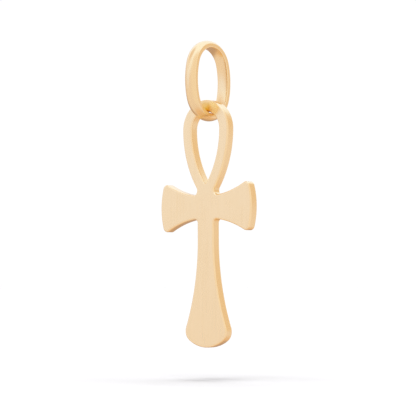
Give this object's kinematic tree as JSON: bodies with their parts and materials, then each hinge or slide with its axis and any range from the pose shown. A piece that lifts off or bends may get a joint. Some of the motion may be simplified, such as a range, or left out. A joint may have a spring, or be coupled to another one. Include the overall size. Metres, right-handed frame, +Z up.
{
  "type": "ankh pendant",
  "caption": "Flat gold ankh cross with flared arms and stem, whose teardrop loop hangs on an oval domed bail that a chain runs through",
  "frame": {"origin": "the chain seat: the highest point of the inside of the bail, where the pendant hangs on its chain", "axes": "X runs along the arms and along the chain, Y runs from the front face to the back face, Z is up"},
  "size_m": [0.0142, 0.0074, 0.0373],
  "materials": {
    "gold": "polished yellow gold, softly rounded edges"
  },
  "bodies": {
    "bail": {"bail": "gold"},
    "ankh": {"ankh": "gold"}
  },
  "joints": [
    {"name": "ankh_swing", "type": "hinge", "parent": "bail", "child": "ankh", "pos_m": [0, 0, -0.00996], "axis": [0, 1, 0], "range_deg": [-60, 60]}
  ]
}
